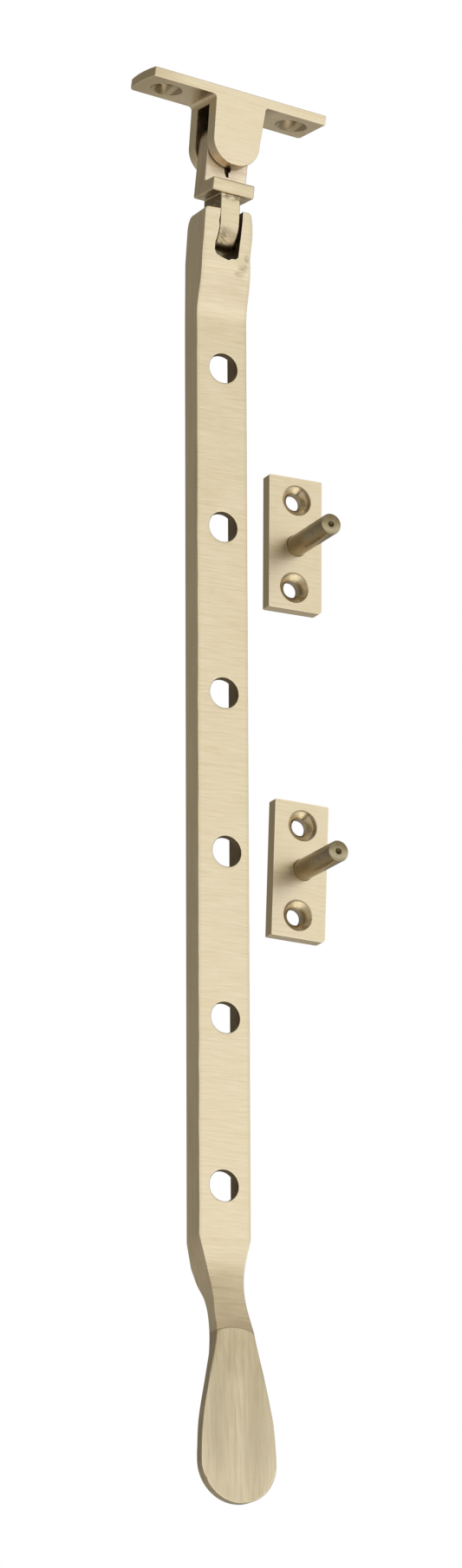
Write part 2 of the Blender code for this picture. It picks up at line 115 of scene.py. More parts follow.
# Knuckle, from the upper pivot.
UPPER_TONGUE_WIDTH = 0.0108
UPPER_TONGUE_THICKNESS = 0.0049
COLLAR_FRONT = 0.0071
COLLAR_TOP_DROP = 0.0101
COLLAR_HEIGHT = 0.0032
LOWER_TONGUE_DEPTH = 0.0086
LOWER_TONGUE_END_START = -0.0203
LOWER_TONGUE_END_HEIGHT = 0.0057
LOWER_TONGUE_HEEL = 0.0014
LOWER_TONGUE_HEEL_LEVEL = -0.0262
LOWER_TONGUE_LEFT = ((-0.0133, -0.0026), (-0.0165, -0.0024), (-0.02, -0.00215), (-0.028, -0.002))
LOWER_TONGUE_RIGHT = ((-0.0133, 0.0024), (-0.017, 0.00275), (-0.0205, 0.0029), (-0.028, 0.00265))
SAW_GOUGE = (
    (-0.0007, -0.006), (-0.0001, -0.0056), (0.0009, -0.0057), (0.0011, -0.0064),
    (0.0006, -0.007), (0.0007, -0.008), (0.0001, -0.0081), (-0.0004, -0.0072),
)
SAW_GOUGE_DEPTH = 0.0012

# Arm, from the lower pivot.
ARM_TOP = 0.0061
BAR_WIDTH = 0.0127
BAR_THICKNESS = 0.0064
BAR_BACK = 0.0051
BAR_END = -0.2336
BOSS_TOP_WIDTH = 0.0114
BOSS_LEVEL_DROP = 0.0055
BOSS_FOOT_DROP = 0.02
BOSS_RISE = 0.0029
BOSS_TOP_RISE = 0.0035
BOSS_TOP_SLOPE = 0.0006
BOSS_TOP_SLOPE_DEPTH = 0.004
BOSS_BACK_RADIUS = 0.0034
BOSS_BACK_RELIEF = 0.0004
CHEEK_CORNER_RADIUS = 0.0009
SLOT_OUTLINE = (
    (-0.00225, 0.0085), (-0.00215, 0.0045), (-0.00235, 0.003), (-0.00215, 0.0015),
    (-0.00235, 0.0000), (-0.00255, -0.0012), (-0.0029, -0.0025), (-0.0029, -0.0043),
    (-0.0024, -0.0052), (-0.0014, -0.0057), (-0.0004, -0.0059), (0.0008, -0.0062),
    (0.0016, -0.0057), (0.0026, -0.0056), (0.0032, -0.005), (0.0033, -0.003),
    (0.0035, 0.0005), (0.0036, 0.004), (0.0035, 0.0085),
)
WALL = 0.0018
TROUGH_TOP = -0.0135
TROUGH_END = -0.2315
TROUGH_FILLET = 0.001
HOLE_DIAMETER = 0.007
FIRST_HOLE_DROP = 0.0316
HOLE_PITCHES = (0.0, 0.0382, 0.0393, 0.0369, 0.0382, 0.038)
HOLE_SHIFTS = (0.0004, 0.0002, 0.0003, 0.0008, 0.0003, -0.0002)
NECK_HALF_WIDTHS = (
    (BAR_END, 0.00635), (-0.2407, 0.00465), (-0.2462, 0.00397), (-0.2521, 0.00425),
    (-0.257, 0.0048), (-0.2662, 0.00675), (-0.2753, 0.0085), (-0.2825, 0.00903),
)
SPOON_RADIUS = 0.00905
SPOON_TIP = -0.2933
CREASE = -0.2556
CREASE_HALF = 0.00015
CREASE_BOW = 0.0011
CREASE_REACH = 0.007
CREASE_HALF_WIDTH = 0.0049
CRANK_FRONT = (
    (BAR_END, 0.0), (-0.2407, 0.0003), (-0.2462, 0.0015), (-0.2505, 0.0029),
    (-0.2556, 0.005),
)
SPOON_FRONT = ((-0.2556, 0.005), (-0.266, 0.0057), (-0.2943, 0.0068))
CRANK_BACK = (
    (-0.2405, 0.0), (-0.244, 0.001), (-0.2475, 0.0037), (-0.251, 0.0058),
    (-0.256, 0.0075), (-0.2605, 0.0089),
)
SPOON_BACK = ((-0.2605, 0.0089), (-0.266, 0.0094), (-0.2943, 0.0106))
SHOULDER_LAG = 0.0024
SHOULDER_LAG_MIDDLE = -0.24
SHOULDER_LAG_REACH = 0.009
# How far the hammered right cheek stands out from the straight outline, down the boss.
RIGHT_SWELL = (
    (ARM_TOP, 0.0003), (0.0036, 0.0006), (0.001, 0.00052), (-0.0018, 0.00015),
    (-0.0034, -0.00015), (-0.0056, -0.0004), (-0.008, -0.00022), (-0.0115, -0.00005),
    (-0.0145, 0.0),
)
EDGE_WANDER = 0.00008
EDGE_WANDER_PITCH = 0.004
NICK_DEPTH = 0.0003
NICK_PITCH = 0.0011
NICK_START = 0.25
NICKED_NECK = (-0.246, BAR_END - 0.004)
NICKED_TIP = -0.286
BACK_EDGE = 0.0004
BACK_EDGE_GROWTH = 0.0002
BACK_EDGE_GROWS_FROM = -0.25
BACK_EDGE_GROWS_OVER = 0.01
SPOON_WAVE = 0.00002
SPOON_WAVE_PITCH = 0.008
SPOON_WAVE_FADE_TOP = 0.01
SPOON_WAVE_FADE_TIP = 0.008

# Peg plates, from the middle of their front face.
PEG_PLATE_WIDTH = 0.0137
PEG_PLATE_HEIGHT = 0.0325
PEG_PLATE_THICKNESS = 0.0036
PEG_PLATE_CORNER = 0.00035
PEG_PLATE_WORN_CORNER = 0.0009
PEG_PLATE_BACK_EDGE = 0.00055
PEG_SCREW_SPACING = 0.0215
PEG_SCREW_SHIFT = 0.0003
PEG_SHIFTS = {"upper": (0.0002, 0.0, -0.0005), "lower": (0.0007, 0.0, 0.0002)}
PEG_COUNTERSINK_DIAMETER = 0.0071
PEG_COUNTERSINK_DEPTH = 0.00165
PEG_DIAMETER = 0.005
PEG_LENGTH = 0.0177
PEG_DIMPLE_DIAMETER = 0.0016
PEG_DIMPLE_DEPTH = 0.0007
PEG_RIVET_DIAMETER = 0.0052
PEG_TILTS = {"upper": 0.6, "lower": 2.2}

# Brass tones and finishes.
BRASS_LIGHT = (0.86, 0.725, 0.515)
BRASS_SHADE = (0.68, 0.547, 0.345)
BRASS_RUBBED = (0.88, 0.77, 0.55)
# Ageing tone for real hairlines. It is also painted shade along the bar's long edges and above the crease,
# and it darkens the plates' sides and the bracket's left end.
BRASS_AGED_AND_SHADE = (0.54, 0.42, 0.235)
# Bruised tone for real bruises and spots. It is also painted shade under the bracket's right wing by the
# ears, and round the countersinks' rims and bores.
BRASS_BRUISED_AND_SHADE = (0.24, 0.17, 0.1)
# The spoon's tones: its own pinkish tone, darkened as painted shade for the dimmer reflections of its
# lengthwise brushing.
SPOON_LIGHT = (0.63, 0.52, 0.345)
SPOON_SHADE = (0.41, 0.325, 0.2)
SPOON_BAND_SHADE = (0.36, 0.295, 0.19)
FILED_LIGHT = (0.75, 0.62, 0.405)
FILED_SHADE = (0.49, 0.385, 0.235)
TURNED_LIGHT = (0.94, 0.8, 0.55)
TURNED_SHADE = (0.5, 0.39, 0.22)
SINK_LIGHT = (0.66, 0.55, 0.36)
SINK_SHADE = (0.38, 0.3, 0.17)
PEG_LIGHT = (0.42, 0.34, 0.215)
PEG_SHADE = (0.21, 0.163, 0.088)
# The sawn face's tones: its own pinkish sawn tone, raised as painted light where the ear in front shades
# it.
SAWN_LIGHT = (1.0, 0.88, 0.66)
SAWN_SHADE = (0.8, 0.6, 0.41)
# Tone of the real file marks. It is also painted shade at the lower tongue's root under the collar and on
# its left faces.
FILE_MARK_AND_SHADE = (0.155, 0.108, 0.058)
# Tones of the walls inside holes, slot, ear gap and peg dimples: darkened as painted shade for these
# recesses.
CUT_LIGHT = (0.29, 0.215, 0.12)
CUT_SHADE = (0.12, 0.085, 0.04)
SATIN_ROUGHNESS = 0.36
TURNED_ROUGHNESS = 0.26
CUT_ROUGHNESS = 0.5
GRAIN_DEPTH = 0.000004
EDGE_WEAR_WIDTH = 0.0004
EDGE_MATCH = (0.995, 0.9)
EDGE_POLISH = -0.06
ANISOTROPY = 0.7
FACING_FROM = 0.6
FACING_FULL = 0.8

# Noises, in cells a metre along X, Y and Z.
GRAIN_BEND = (90.0, 90.0, 260.0)
GRAIN_WAVE = 0.0005
FINE_ACROSS = (160.0, 7000.0, 7000.0)
FINE_ALONG = (7000.0, 7000.0, 130.0)
STREAKS_ACROSS = (140.0, 1500.0, 1900.0)
STREAKS_ALONG = (1500.0, 1500.0, 70.0)
PATCHES = (110.0, 110.0, 110.0)
HAIRLINE_BEND = (70.0, 70.0, 200.0)
HAIRLINE_WAVE = 0.0016
HAIRLINES = (60.0, 900.0, 2600.0)
BAND_DRIFT = (120.0, 1.0, 30.0)
BRUISE_PITS = (900.0, 900.0, 1600.0)
TURNING_RINGS = (5000.0, 5000.0, 1.0)
TURNED_PATCHES = (450.0, 250.0, 450.0)
TURNED_SPOTS = (1400.0, 900.0, 1400.0)
CUT_SKIN = (1500.0, 1500.0, 1500.0)
CUT_PATCHES = (260.0, 260.0, 260.0)
SAW_LINES = (320.0, 320.0, 3000.0)
SAW_SLANT = 0.12
RIPPLES = (500.0, 500.0, 900.0)
FILE_LINES = (700.0, 700.0, 4500.0)
FILE_SLANT = 0.45

# Marks and painted shade on single pieces: how strong they are, and where they start and are full.
PLATE_HAIRLINES = 0.26
ARM_HAIRLINES = 0.22
PLATE_RUB = 0.7
ARM_RUB = 0.5
KNUCKLE_RUB = 0.4
BRACKET_SIDE_DARKENING = 0.35
PEG_PLATE_SIDE_DARKENING = 0.85
LEFT_END_DARKENING = 0.6
SHADE_BY_EAR = 0.62
BAR_RIM_SHADE = 0.28
BAR_RIM_SHADE_FROM = BAR_WIDTH / 2 - 0.0011
BAR_RIM_SHADE_FULL = BAR_WIDTH / 2 - 0.0002
CRANK_HOLLOW_SHADE = 0.24
CRANK_HOLLOW_SHADE_FROM = CREASE + 0.0045
CRANK_HOLLOW_SHADE_FULL = CREASE + 0.0004
BAND_SHADE_DEPTH = 0.22
BAND_TOP = (CREASE - 0.004, CREASE - 0.014)
BAND_TIP = (SPOON_TIP + 0.002, SPOON_TIP + 0.012)
BOSS_BRUISE = 0.36
BOSS_BRUISES = (
    ((0.0042, -0.004, -0.0076), (0.0019, 0.003, 0.0014)),
    ((0.0033, -0.004, -0.0091), (0.0017, 0.003, 0.0011)),
    ((0.005, -0.004, -0.0052), (0.0009, 0.003, 0.0014)),
)
TURNED_SPOTTING = 0.35
SINK_RIM_SHADE = 0.75
SINK_THROAT_SHADE = 0.6
FILE_MARKS = 0.7
FILE_MARKS_DOWN = (-0.02, -0.0222)
FILE_MARKS_LEFT = (0.002, -0.0005)
TONGUE_ROOT_SHADE = 0.8
TONGUE_ROOT_SHADE_UP = (-0.0152, -0.0136)

# How edges are broken and how finely round shapes are drawn.
EDGE = 0.00022
KNUCKLE_EDGE = 0.00036
RIM = 0.00014
ROUND_SEGMENTS = 96
EDGE_STEPS = 4
SHARP_ANGLE = 35
OVERCUT = 0.002
NEAR = RIM / 10
LOBE_STEPS = 36
FILLET_STEPS = 8


# Meshes.


def new_object(name, mesh_data, place, material):
    """Links a bmesh as an object at a 4x4 place, and frees the bmesh."""
    mesh = bpy.data.meshes.new(name)
    bmesh.ops.recalc_face_normals(mesh_data, faces=mesh_data.faces[:])
    mesh_data.to_mesh(mesh)
    mesh_data.free()
    mesh.materials.append(material)
    item = bpy.data.objects.new(name, mesh)
    bpy.context.scene.collection.objects.link(item)
    item.matrix_world = place
    return item


def settle(item):
    """Applies an object's modifiers to its own mesh."""
    bpy.context.view_layer.update()
    graph = bpy.context.evaluated_depsgraph_get()
    item.data = bpy.data.meshes.new_from_object(item.evaluated_get(graph))
    item.modifiers.clear()


def combine(item, data, place, material, operation="DIFFERENCE"):
    """Cuts or crops item with a bmesh at a place, whose faces bring their own material."""
    tool = new_object("tool", data, place, material)
    modifier = item.modifiers.new("combine", "BOOLEAN")
    modifier.operation = operation
    modifier.solver = "EXACT"
    modifier.material_mode = "TRANSFER"
    modifier.object = tool
    settle(item)
    bpy.data.objects.remove(tool, do_unlink=True)


def round_off(body, edges, radius, segments):
    """Rounds some edges of a bmesh."""
    bmesh.ops.bevel(body, geom=edges, offset=radius, segments=segments, profile=0.5, affect="EDGES")


def break_edges(item, width, clamp=True):
    """Rounds every sharp edge."""
    modifier = item.modifiers.new("edges", "BEVEL")
    modifier.width = width
    modifier.segments = 3
    modifier.limit_method = "ANGLE"
    modifier.angle_limit = math.radians(SHARP_ANGLE)
    modifier.use_clamp_overlap = clamp
    settle(item)


def dress(item, body, node):
    """Shades a finished piece and puts it in the place of its CAD node."""
    item.data.shade_smooth()
    item.data.set_sharp_from_angle(angle=math.radians(SHARP_ANGLE))
    modifier = item.modifiers.new("flat_faces", "WEIGHTED_NORMAL")
    modifier.keep_sharp = True
    modifier.weight = 80
    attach(item, body)
    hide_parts(node)


def arc(centre, radius, start, end, steps):
    """Points on an arc, from start to end in degrees."""
    points = []
    for i in range(steps + 1):
        angle = math.radians(start + (end - start) * i / steps)
        points.append((centre[0] + radius * math.cos(angle), centre[1] + radius * math.sin(angle)))
    return points


def smooth(stations, steps):
    """Points on a smooth curve through (height, value) stations."""
    last = len(stations) - 1
    slopes = []
    for i in range(len(stations)):
        before = stations[max(i - 1, 0)]
        after = stations[min(i + 1, last)]
        slopes.append((after[1] - before[1]) / (after[0] - before[0]))
    points = []
    for i in range(last):
        (h0, v0), (h1, v1) = stations[i], stations[i + 1]
        span = h1 - h0
        for k in range(steps):
            t = k / steps
            a = 2 * t**3 - 3 * t**2 + 1
            b = (t**3 - 2 * t**2 + t) * span
            c = 3 * t**2 - 2 * t**3
            d = (t**3 - t**2) * span
            points.append((h0 + t * span, a * v0 + b * slopes[i] + c * v1 + d * slopes[i + 1]))
    points.append(stations[-1])
    return points


def read(points, height):
    """The value at a height, on a line of (height, value) points that run downwards."""
    if height >= points[0][0]:
        return points[0][1]
    for (h0, v0), (h1, v1) in zip(points, points[1:]):
        if height >= h1:
            return v0 + (v1 - v0) * (height - h0) / (h1 - h0)
    return points[-1][1]


def quarter(steps=EDGE_STEPS):
    """(1 - cosine, 1 - sine) from 0 to 90 degrees, for rounding an edge."""
    turns = [math.radians(90 * i / steps) for i in range(steps + 1)]
    return [(1 - math.cos(turn), 1 - math.sin(turn)) for turn in turns]


def bridge(body, rows, closed=False):
    """Faces between neighbouring rows of vertices."""
    for first, second in zip(rows, rows[1:]):
        for i in range(len(first) - (not closed)):
            j = (i + 1) % len(first)
            body.faces.new((first[i], first[j], second[j], second[i]))


def tube(body, rings):
    """A solid from rings of vertices, with a cap at each end."""
    body.faces.new(rings[0])
    body.faces.new(rings[-1])
    bridge(body, rings, closed=True)


def prism(outline, axis, low, high):
    """Extrudes a closed outline.

    Its points are (x, z) for an axis of Y, (y, z) for X and (x, y) for Z.
    """
    order = {"X": (2, 0, 1), "Y": (0, 2, 1), "Z": (0, 1, 2)}[axis]
    body = bmesh.new()
    rings = []
    for level in (low, high):
        rings.append([body.verts.new([(a, b, level)[i] for i in order]) for a, b in outline])
    tube(body, rings)
    return body


def turned(profile, axis="Y", centres=((0.0, 0.0, 0.0),)):
    """Solids turned about +X or +Y through each centre, from (distance along, radius) points."""
    body = bmesh.new()
    turns = [2 * math.pi * i / ROUND_SEGMENTS for i in range(ROUND_SEGMENTS)]
    for centre in centres:
        rings = []
        for along, radius in profile:
            ring = [(radius * math.cos(turn), along, radius * math.sin(turn)) for turn in turns]
            if axis == "X":
                ring = [(y, x, z) for x, y, z in ring]
            rings.append([body.verts.new(Vector(centre) + Vector(at)) for at in ring])
        tube(body, rings)
    return body


def outline_normals(outline):
    """The outward normal at each point of a closed outline that runs clockwise."""
    normals = []
    count = len(outline)
    for i in range(count):
        before, after = outline[i - 1], outline[(i + 1) % count]
        along = Vector((after[0] - before[0], after[1] - before[1])).normalized()
        normals.append((-along.y, along.x))
    return normals


def layered(outline, levels):
    """A solid of rings along Y: each level is (outset, y)."""
    normals = outline_normals(outline)
    body = bmesh.new()
    rings = []
    for outset, y in levels:
        ring = []
        for (x, z), (nx, nz) in zip(outline, normals):
            ring.append(body.verts.new((x + nx * outset, y, z + nz * outset)))
        rings.append(ring)
    tube(body, rings)
    return body


def flare(at, radius, side):
    """Profile of a bore whose rim, on a face at that place, is rounded; side is which way is out."""
    points = [(at + side * OVERCUT, radius + RIM)]
    points += [(at - side * RIM * inward, radius + RIM * outward) for inward, outward in quarter()]
    return points[::-1] if side > 0 else points


# Materials.


class Nodes:
    """Short calls for drawing a node tree."""

    def __init__(self, tree):
        self.tree = tree

    def put(self, socket, value):
        """Links a value that varies, or sets one that is the same all over."""
        if isinstance(value, bpy.types.NodeSocket):
            self.tree.links.new(value, socket)
        else:
            socket.default_value = value

    def node(self, kind, *values, **settings):
        """A node with some settings, and its first inputs filled."""
        node = self.tree.nodes.new("ShaderNode" + kind)
        for name, setting in settings.items():
            setattr(node, name, setting)
        for socket, value in zip(node.inputs, values):
            self.put(socket, value)
        return node

    def fill(self, node, values):
        """Fills a node's inputs by name."""
        for name, value in values.items():
            self.put(node.inputs[name], value)

    def split(self, vector):
        return tuple(self.node("SeparateXYZ", vector).outputs)

    def join(self, x, y, z):
        return self.node("CombineXYZ", x, y, z).outputs[0]

    def math(self, operation, *values):
        return self.node("Math", *values, operation=operation).outputs[0]

    def times(self, first, *others):
        """The product of some values."""
        for other in others:
            first = self.math("MULTIPLY", first, other)
        return first

    def line(self, value, slope, start):
        """Start plus slope times value."""
        return self.math("MULTIPLY_ADD", value, slope, start)

    def vector(self, operation, *values):
        """A vector, or the number that LENGTH and DOT_PRODUCT give."""
        outputs = self.node("VectorMath", *values, operation=operation).outputs
        return outputs["Value" if operation in ("LENGTH", "DOT_PRODUCT") else "Vector"]

    def step(self, value, low, high, start=0.0, stop=1.0):
        """Eases from start to stop as value goes from low to high."""
        settings = {"interpolation_type": "SMOOTHSTEP"}
        return self.node("MapRange", value, low, high, start, stop, **settings).outputs[0]

    def blend(self, factor, first, second):
        """Mixes two numbers or two colours."""
        colored = isinstance(first, tuple) or isinstance(second, tuple)
        colored = colored or getattr(first, "type", "") == "RGBA"
        node = self.node("Mix", data_type="RGBA" if colored else "FLOAT")
        a, b, out = (6, 7, 2) if colored else (2, 3, 0)
        self.put(node.inputs[0], factor)
        self.put(node.inputs[a], (*first, 1.0) if isinstance(first, tuple) else first)
        self.put(node.inputs[b], (*second, 1.0) if isinstance(second, tuple) else second)
        return node.outputs[out]


class Finish(Nodes):
    """One material's nodes, in the piece's own coordinates."""

    def __init__(self, name):
        self.material = bpy.data.materials.new(name)
        self.material.use_nodes = True
        super().__init__(self.material.node_tree)
        self.shader = self.tree.nodes["Principled BSDF"]
        place = self.node("TexCoord")
        self.place = place.outputs["Object"]
        self.normal = place.outputs["Normal"]
        self.x, self.y, self.z = self.split(self.place)

    def noise(self, stretch, detail=2.0, roughness=0.55, at=None):
        """Noise with that many cells a metre along X, Y and Z, here or at another place."""
        at = self.place if at is None else at
        node = self.node("TexNoise", self.vector("MULTIPLY", at, stretch))
        self.fill(node, {"Scale": 1.0, "Detail": detail, "Roughness": roughness})
        return node.outputs[0]

    def slant(self, slope):
        """The place, with heights that rise by a slope across the piece."""
        return self.join(self.x, self.y, self.line(self.x, slope, self.z))

    def stain(self, color, tone, *amounts):
        """Mixes a tone into a colour, by the product of the amounts."""
        return self.blend(self.times(*amounts), color, tone)

    def total(self, *terms):
        """Adds (value, weight) terms, each taken about its middle of one half."""
        out = 0.5
        for value, weight in terms:
            out = self.line(self.math("SUBTRACT", value, 0.5), weight, out)
        return out

    def around(self, level, *terms):
        """The same total, about another level."""
        return self.math("ADD", self.total(*terms), level - 0.5)

    def spot(self, centre, size):
        """1 at a place and 0 a size away from it, with sizes along X, Y and Z."""
        offset = self.vector("SUBTRACT", self.place, centre)
        away = self.vector("LENGTH", self.vector("DIVIDE", offset, size))
        return self.step(away, 0.3, 1.0, 1.0, 0.0)

    def worn_edge(self):
        """1 on edges, where handling has rubbed the metal smooth, and 0 on faces."""
        bevel = self.node("Bevel", EDGE_WEAR_WIDTH, samples=4)
        flat = self.node("NewGeometry").outputs["True Normal"]
        return self.step(self.vector("DOT_PRODUCT", bevel.outputs[0], flat), *EDGE_MATCH)

    def facing(self, axis):
        """1 on faces that look back along an axis, by its number: left, front or down."""
        return self.step(self.split(self.normal)[axis], -FACING_FROM, -FACING_FULL)

    def side_faces(self):
        """1 on faces that look along X, either way."""
        across = self.math("ABSOLUTE", self.split(self.normal)[0])
        return self.step(across, FACING_FROM, FACING_FULL)

    def brush(self, x, z):
        """Stretches the highlights across a direction of the piece."""
        turn = {"vector_type": "VECTOR", "convert_from": "OBJECT", "convert_to": "WORLD"}
        tangent = self.node("VectorTransform", self.join(x, 0.0, z), **turn)
        self.fill(self.shader, {"Anisotropic": ANISOTROPY, "Tangent": tangent.outputs[0]})

    def finish(self, color, roughness, height, depth=GRAIN_DEPTH, metallic=1.0):
        bump = self.node("Bump")
        self.fill(bump, {"Strength": 1.0, "Distance": depth, "Height": height})
        values = {"Base Color": color, "Roughness": roughness, "Metallic": metallic}
        self.fill(self.shader, {**values, "Normal": bump.outputs[0]})
        return self.material


def grain(look, across):
    """Brushing lines along X, or along Z where across is 1, as (fine, streaks, patches)."""
    bend = look.math("SUBTRACT", look.noise(GRAIN_BEND, 1.0), 0.5)
    lift = look.times(bend, 2 * GRAIN_WAVE)
    bent = look.join(look.x, look.y, look.math("ADD", look.z, lift))
    fine = look.noise(FINE_ACROSS, 1.0, at=bent)
    fine = look.blend(across, fine, look.noise(FINE_ALONG, 1.0))
    streaks = look.noise(STREAKS_ACROSS, 3.0, 0.6, bent)
    streaks = look.blend(across, streaks, look.noise(STREAKS_ALONG, 3.0, 0.6))
    return fine, streaks, look.noise(PATCHES, 3.0, 0.6)


def scratches(look):
    """1 on a few long hairlines across the piece."""
    bend = look.noise(HAIRLINE_BEND, 1.0)
    bent = look.join(look.x, look.y, look.line(bend, HAIRLINE_WAVE, look.z))
    return look.step(look.noise(HAIRLINES, 0.0, at=bent), 0.64, 0.74)


def satin_brass(name, side_darkening, left_end=None):
    """Brushed across, with brighter worn edges and, by a given amount, darker faces that look along X.

    The bracket also darkens towards its left end, and painted shade darkens the underside of its right wing
    beside the ears.
    """
    look = Finish(name)
    sides = look.side_faces()
    fine, streaks, patches = grain(look, sides)
    shade = look.total((fine, 0.7), (streaks, 1.2), (patches, 1.0))
    color = look.blend(shade, BRASS_SHADE, BRASS_LIGHT)
    color = look.stain(color, BRASS_AGED_AND_SHADE, scratches(look), PLATE_HAIRLINES)
    # Darker on the faces that look along X.
    color = look.stain(color, BRASS_AGED_AND_SHADE, sides, side_darkening)
    if left_end:
        # Darker towards the left end.
        color = look.stain(color, BRASS_AGED_AND_SHADE, look.step(look.x, left_end / 2, left_end, 0.0, LEFT_END_DARKENING))
        # Painted shade on the underside of the right wing, beside the ears.
        right = look.math("GREATER_THAN", look.x, 0.0)
        shade_by_ear = look.step(look.x, -left_end / 4, -left_end / 2, SHADE_BY_EAR, 0.0)
        color = look.stain(color, BRASS_BRUISED_AND_SHADE, shade_by_ear, look.facing(2), right)
    edge = look.worn_edge()
    color = look.stain(color, BRASS_RUBBED, edge, PLATE_RUB)
    rough = look.around(SATIN_ROUGHNESS, (fine, 0.1), (streaks, 0.12), (patches, 0.1))
    look.brush(0.0, 1.0)
    height = look.total((fine, 0.5), (streaks, 0.8))
    return look.finish(color, look.line(edge, EDGE_POLISH, rough), height)


def arm_brass(name):
    """The arm's satin, brushed across the bar and along the spoon and sides, with a bruised boss, and
    painted shade along the bar's long edges, above the crease and in bands across the spoon.
    """
    look = Finish(name)
    crest = look.line(look.times(look.x, look.x), -CREASE_BOW / CREASE_HALF_WIDTH ** 2, CREASE_BOW)
    below_crease = look.math("SUBTRACT", look.z, crest)
    spoon = look.step(below_crease, CREASE + CREASE_HALF, CREASE - CREASE_HALF)
    not_spoon = look.math("SUBTRACT", 1.0, spoon)
    across = look.math("MAXIMUM", look.side_faces(), spoon)
    fine, streaks, patches = grain(look, across)
    shade = look.total((fine, 0.5), (streaks, 1.7), (patches, 0.8))
    color = look.blend(shade, BRASS_SHADE, BRASS_LIGHT)
    hairs = look.times(scratches(look), look.math("SUBTRACT", 1.0, across))
    color = look.stain(color, BRASS_AGED_AND_SHADE, hairs, ARM_HAIRLINES)
    # Painted shade: the bar's front darkens towards its long edges, where their rounding turns away from
    # the light.
    rim = look.step(look.math("ABSOLUTE", look.x), BAR_RIM_SHADE_FROM, BAR_RIM_SHADE_FULL)
    color = look.stain(color, BRASS_AGED_AND_SHADE, rim, BAR_RIM_SHADE)
    # Painted shade in the concave hollow just above the crease.
    hollow = look.step(below_crease, CRANK_HOLLOW_SHADE_FROM, CRANK_HOLLOW_SHADE_FULL)
    color = look.stain(color, BRASS_AGED_AND_SHADE, hollow, CRANK_HOLLOW_SHADE, not_spoon)
    # The spoon takes its own tones, which hold painted shade as well as its pinkish colour.
    color = look.blend(spoon, color, look.blend(shade, SPOON_SHADE, SPOON_LIGHT))

    # Painted shade: soft dark bands across the spoon, in step with the slight waves of its front.
    phase = look.times(look.x, 2 * math.pi / SPOON_WAVE_PITCH)
    drift = look.noise(BAND_DRIFT, 1.0)
    band = look.math("COSINE", look.line(drift, 3.0, look.math("SUBTRACT", phase, 1.5)))
    inside = look.times(look.step(look.z, *BAND_TOP), look.step(look.z, *BAND_TIP))
    color = look.stain(color, SPOON_BAND_SHADE, inside, look.line(band, -BAND_SHADE_DEPTH, BAND_SHADE_DEPTH))

    bruise = 0.0
    for centre, size in BOSS_BRUISES:
        bruise = look.math("MAXIMUM", bruise, look.spot(centre, size))
    pits = look.noise(BRUISE_PITS, 3.0, 0.7)
    bruise = look.times(bruise, look.step(pits, 0.35, 0.7, 0.2, 1.0))
    color = look.stain(color, BRASS_BRUISED_AND_SHADE, bruise, BOSS_BRUISE)

    edge = look.worn_edge()
    color = look.stain(color, BRASS_RUBBED, edge, ARM_RUB)
    rough = look.around(SATIN_ROUGHNESS, (fine, 0.1), (streaks, 0.12), (patches, 0.1))
    rough = look.line(bruise, 0.15, look.line(edge, EDGE_POLISH, rough))
    look.brush(spoon, not_spoon)
    height = look.total((fine, 0.5), (streaks, 0.8), (look.times(bruise, pits), 2.0))
    return look.finish(color, rough, height)


def turned_finish(name, shade, light, centre=(0.0, 0.0), rim=None):
    """Rings round holes or pegs along Y, at a place across and up and at its mirror images; with a rim
    given, painted shade darkens the rim and the bore's wall.
    """
    look = Finish(name)
    across, upward = (
        look.math("SUBTRACT", look.math("ABSOLUTE", value), middle)
        for value, middle in zip((look.x, look.z), centre)
    )
    radius = look.math("SQRT", look.line(upward, upward, look.times(across, across)))
    rings = look.noise(TURNING_RINGS, 2.0, 0.6, look.join(radius, look.y, 0.0))
    patches = look.noise(TURNED_PATCHES, 3.0, 0.65)
    spots = look.step(look.noise(TURNED_SPOTS, 2.0), 0.6, 0.72)
    color = look.blend(look.total((rings, 0.9), (patches, 1.1)), shade, light)
    color = look.stain(color, BRASS_BRUISED_AND_SHADE, spots, TURNED_SPOTTING)
    if rim:
        # Painted shade: a dark ring just inside the countersink's rim, and darkening on the bore's wall
        # below the cone.
        ragged = look.line(look.math("SUBTRACT", patches, 0.5), 0.0003, radius)
        rim_shade = look.times(look.step(ragged, rim - 0.00035, rim - 0.00012), SINK_RIM_SHADE)
        throat_shade = look.step(ragged, SCREW_BORE / 2 + 0.0005, SCREW_BORE / 2 + 0.0001)
        dark = look.math("MAXIMUM", rim_shade, look.times(throat_shade, SINK_THROAT_SHADE))
        color = look.blend(dark, color, BRASS_BRUISED_AND_SHADE)
    rough = look.around(TURNED_ROUGHNESS, (rings, 0.12), (patches, 0.18))
    return look.finish(color, rough, look.total((rings, 1.0), (patches, 0.3)))


def shaded_cut_brass(name):
    """Dull walls of holes, slot and hollow, as the cutter and the casting left them, in a dark tone that is
    painted shade for these recesses.
    """
    look = Finish(name)
    skin = look.noise(CUT_SKIN, 3.0, 0.65)
    patches = look.noise(CUT_PATCHES, 2.0)
    color = look.blend(look.total((skin, 0.8), (patches, 0.9)), CUT_SHADE, CUT_LIGHT)
    rough = look.around(CUT_ROUGHNESS, (skin, 0.2), (patches, 0.2))
    return look.finish(color, rough, skin, 3 * GRAIN_DEPTH)


